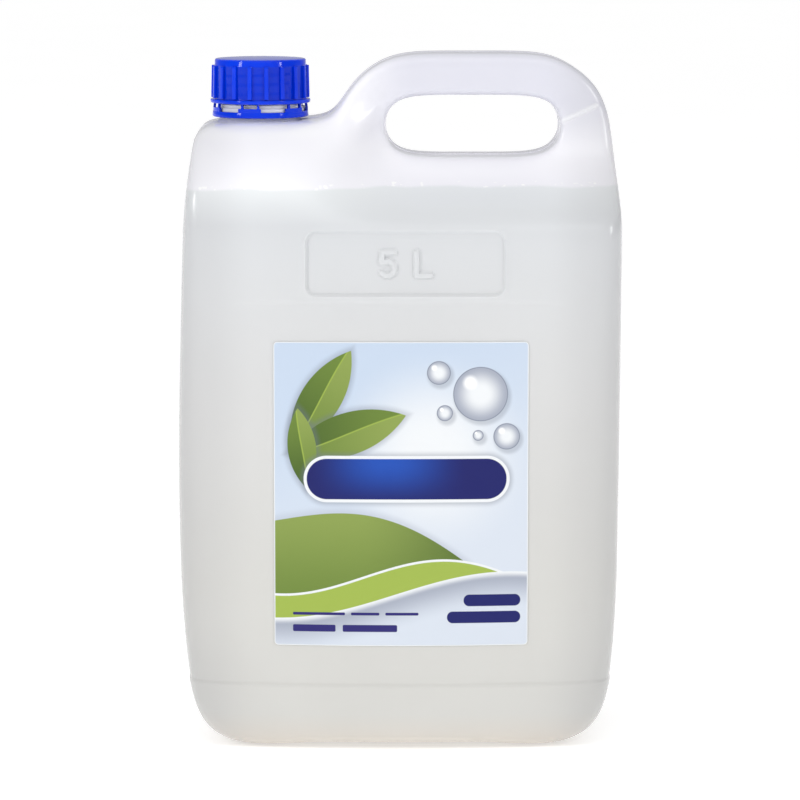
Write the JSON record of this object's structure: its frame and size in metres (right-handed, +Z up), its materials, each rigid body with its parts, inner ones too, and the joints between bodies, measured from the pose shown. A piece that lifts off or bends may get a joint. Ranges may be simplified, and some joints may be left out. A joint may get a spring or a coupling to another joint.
{
  "type": "hand soap refill jerry can",
  "caption": "Translucent blow-moulded jerry can of liquid soap with a moulded-in handle, a ribbed tamper-evident screw cap and a front label.",
  "frame": {"origin": "bottom centre of the standing can's bounding box, on the surface it stands on", "axes": "+Z up, the label faces -Y, the neck and cap are at the -X end and the handle runs along X"},
  "size_m": [0.1875, 0.1281, 0.294],
  "materials": {
    "natural_hdpe": "translucent satin blow-moulded polyethylene",
    "pearl_soap": "cloudy pearl liquid",
    "cap_blue": "glossy moulded polypropylene",
    "white_foam": "soft closed-cell foam",
    "printed_film": "printed satin film"
  },
  "bodies": {
    "can": {"bottle_body": "natural_hdpe", "liquid_soap": "pearl_soap", "tamper_band": "cap_blue", "front_label": "printed_film"},
    "wad": {"cap_liner": "white_foam"},
    "cap": {"screw_cap": "cap_blue"}
  },
  "joints": [
    {"name": "cap_rise", "type": "slide", "parent": "can", "child": "wad", "axis": [0, 0, 1], "range_m": [0, 0.0081]},
    {"name": "cap_turn", "type": "hinge", "parent": "wad", "child": "cap", "pos_m": [-0.0598, 0, 0.27245], "axis": [0, 0, 1], "range_deg": [0, 720]}
  ],
  "couplings": [
    {"joint": "cap_rise", "follows": "cap_turn", "m_per_rad": 0.00063662}
  ]
}
